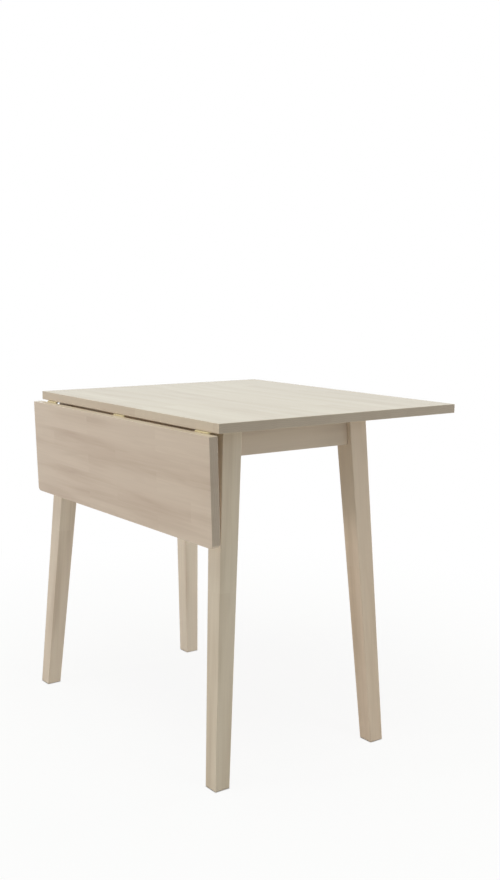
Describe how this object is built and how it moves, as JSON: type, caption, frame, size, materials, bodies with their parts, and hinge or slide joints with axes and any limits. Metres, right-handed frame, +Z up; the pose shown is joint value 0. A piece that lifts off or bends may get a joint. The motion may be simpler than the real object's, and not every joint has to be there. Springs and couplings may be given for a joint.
{
  "type": "drop-leaf dining table",
  "caption": "Small dining table in whitewashed wood with splayed tapered legs and a hinged leaf that hangs at one side and is raised on slotted stays.",
  "frame": {"origin": "on the floor under the middle of the table's bounding box, with its leaf hanging", "axes": "+Z up; the leaf hangs at -X, the hinge line runs along Y, and the front is -Y"},
  "size_m": [0.6882, 0.7696, 0.75],
  "materials": {
    "whitewashed_top": "whitewash under matt lacquer",
    "whitewashed_leaf": "whitewash under matt lacquer",
    "whitewashed_legs": "whitewash under matt lacquer",
    "whitewashed_aprons": "whitewash under matt lacquer",
    "brass": "plain rolled brass",
    "zinc_plated_steel": "bright zinc plate",
    "nylon_glides": "moulded, matt"
  },
  "bodies": {
    "table": {"apron_back": "whitewashed_aprons", "apron_end": "whitewashed_aprons", "apron_front": "whitewashed_aprons", "apron_leaf_side": "whitewashed_aprons", "glide_back_left": "nylon_glides", "glide_back_right": "nylon_glides", "glide_front_left": "nylon_glides", "glide_front_right": "nylon_glides", "hinge_pin_back": "brass", "hinge_pin_front": "brass", "hinge_pin_middle": "brass", "hinge_top_plate_back": "brass", "hinge_top_plate_front": "brass", "hinge_top_plate_middle": "brass", "hinge_top_screw_back_1": "brass", "hinge_top_screw_back_2": "brass", "hinge_top_screw_front_1": "brass", "hinge_top_screw_front_2": "brass", "hinge_top_screw_middle_1": "brass", "hinge_top_screw_middle_2": "brass", "leg_back_left": "whitewashed_legs", "leg_back_right": "whitewashed_legs", "leg_front_left": "whitewashed_legs", "leg_front_right": "whitewashed_legs", "stay_bracket_back": "zinc_plated_steel", "stay_bracket_front": "zinc_plated_steel", "stay_bracket_screw_back_1": "zinc_plated_steel", "stay_bracket_screw_back_2": "zinc_plated_steel", "stay_bracket_screw_front_1": "zinc_plated_steel", "stay_bracket_screw_front_2": "zinc_plated_steel", "stay_rivet_back": "zinc_plated_steel", "stay_rivet_front": "zinc_plated_steel", "table_top": "whitewashed_top", "top_screw_back": "zinc_plated_steel", "top_screw_end_back": "zinc_plated_steel", "top_screw_end_front": "zinc_plated_steel", "top_screw_front": "zinc_plated_steel", "top_screw_leaf_side_back": "zinc_plated_steel", "top_screw_leaf_side_front": "zinc_plated_steel"},
    "leaf": {"drop_leaf": "whitewashed_leaf", "hinge_leaf_plate_back": "brass", "hinge_leaf_plate_front": "brass", "hinge_leaf_plate_middle": "brass", "hinge_leaf_screw_back_1": "brass", "hinge_leaf_screw_back_2": "brass", "hinge_leaf_screw_front_1": "brass", "hinge_leaf_screw_front_2": "brass", "hinge_leaf_screw_middle_1": "brass", "hinge_leaf_screw_middle_2": "brass", "stay_track_back": "zinc_plated_steel", "stay_track_front": "zinc_plated_steel", "stay_track_screw_back_1": "zinc_plated_steel", "stay_track_screw_back_2": "zinc_plated_steel", "stay_track_screw_front_1": "zinc_plated_steel", "stay_track_screw_front_2": "zinc_plated_steel"},
    "front_stay_arm": {"stay_arm_front": "zinc_plated_steel", "stay_pin_front": "zinc_plated_steel"},
    "back_stay_arm": {"stay_arm_back": "zinc_plated_steel", "stay_pin_back": "zinc_plated_steel"}
  },
  "joints": [
    {"name": "leaf_hinge", "type": "hinge", "parent": "table", "child": "leaf", "pos_m": [-0.32147, 0, 0.7273], "axis": [0, 1, 0], "range_deg": [0, 92.5]},
    {"name": "front_stay_swing", "type": "hinge", "parent": "table", "child": "front_stay_arm", "pos_m": [-0.29987, -0.21, 0.688], "axis": [0, 1, 0], "range_deg": [0, 101.9]},
    {"name": "back_stay_swing", "type": "hinge", "parent": "table", "child": "back_stay_arm", "pos_m": [-0.29987, 0.21, 0.688], "axis": [0, 1, 0], "range_deg": [0, 101.9]}
  ],
  "couplings": [
    {"joint": "front_stay_swing", "follows": "leaf_hinge", "ratio": 1.1016},
    {"joint": "back_stay_swing", "follows": "leaf_hinge", "ratio": 1.1016}
  ]
}
